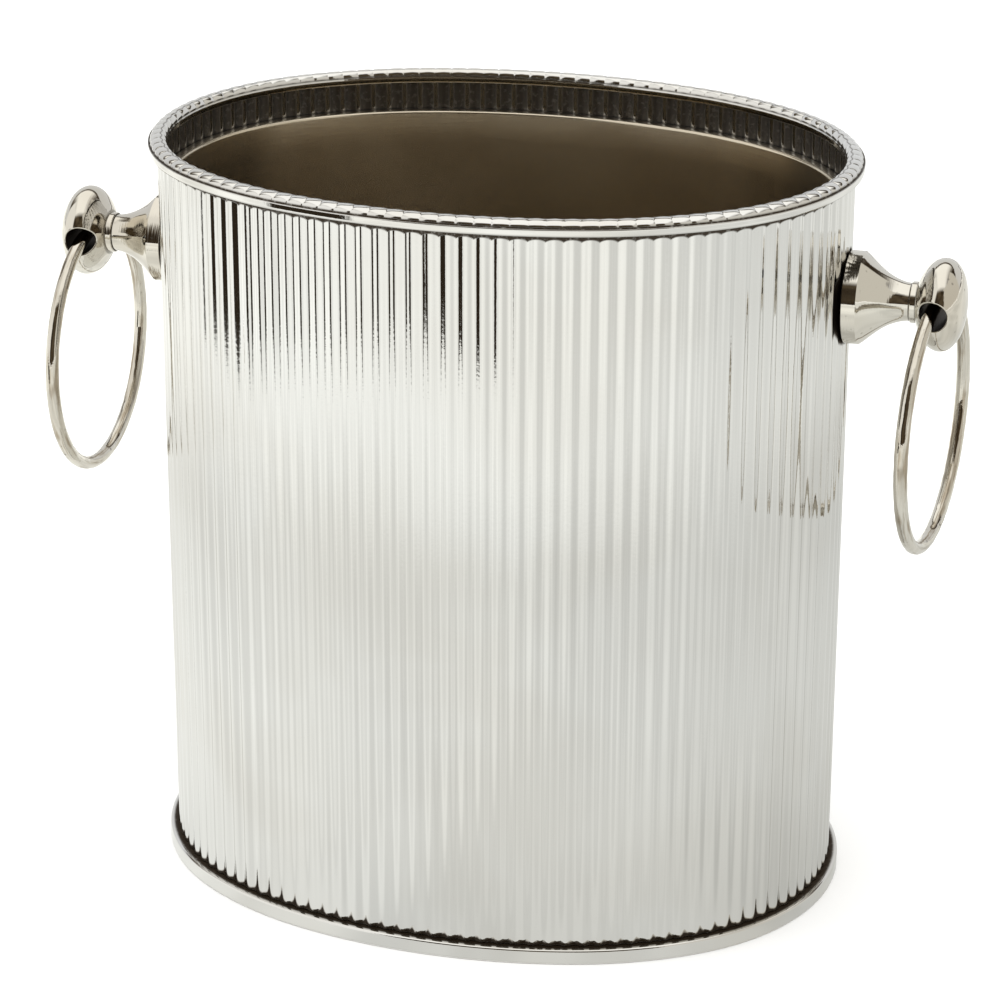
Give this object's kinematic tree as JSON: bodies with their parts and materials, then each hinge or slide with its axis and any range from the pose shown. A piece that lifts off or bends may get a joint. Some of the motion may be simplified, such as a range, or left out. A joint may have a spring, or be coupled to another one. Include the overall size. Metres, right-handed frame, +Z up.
{
  "type": "champagne bucket",
  "caption": "Oval fluted silver champagne bucket with a lobed rim border, a flanged inner liner and a hanging ring handle on a turned knob at each end.",
  "frame": {"origin": "on the table, at the centre of the foot", "axes": "+X along the long axis of the oval, through both handles; +Z up; +Y across the oval"},
  "size_m": [0.26, 0.1506, 0.215],
  "materials": {
    "silver_polished": "mirror polish, faintly warm",
    "silver_satin": "satin, fine horizontal scratches",
    "handle_metal": "polished, slightly worn",
    "ring_metal": "polished, rubbed and pitted",
    "plain_metal": "plain rolled sheet"
  },
  "bodies": {
    "bucket": {"fluted_wall": "silver_polished", "rim_border": "silver_polished", "foot_ring": "silver_polished", "base_plate": "plain_metal", "liner": "silver_satin", "liner_shelf_ring": "plain_metal", "boss_left": "handle_metal", "knob_left": "handle_metal", "backing_plate_left": "plain_metal", "nut_left": "plain_metal", "boss_right": "handle_metal", "knob_right": "handle_metal", "backing_plate_right": "plain_metal", "nut_right": "plain_metal"},
    "ring_left": {"ring_left": "ring_metal"},
    "ring_right": {"ring_right": "ring_metal"}
  },
  "joints": [
    {"name": "ring_left_swing", "type": "hinge", "parent": "bucket", "child": "ring_left", "pos_m": [-0.12225, 0, 0.1781], "axis": [0, 1, 0], "range_deg": [-18, 210]},
    {"name": "ring_right_swing", "type": "hinge", "parent": "bucket", "child": "ring_right", "pos_m": [0.12225, 0, 0.1781], "axis": [0, -1, 0], "range_deg": [-18, 210]}
  ]
}
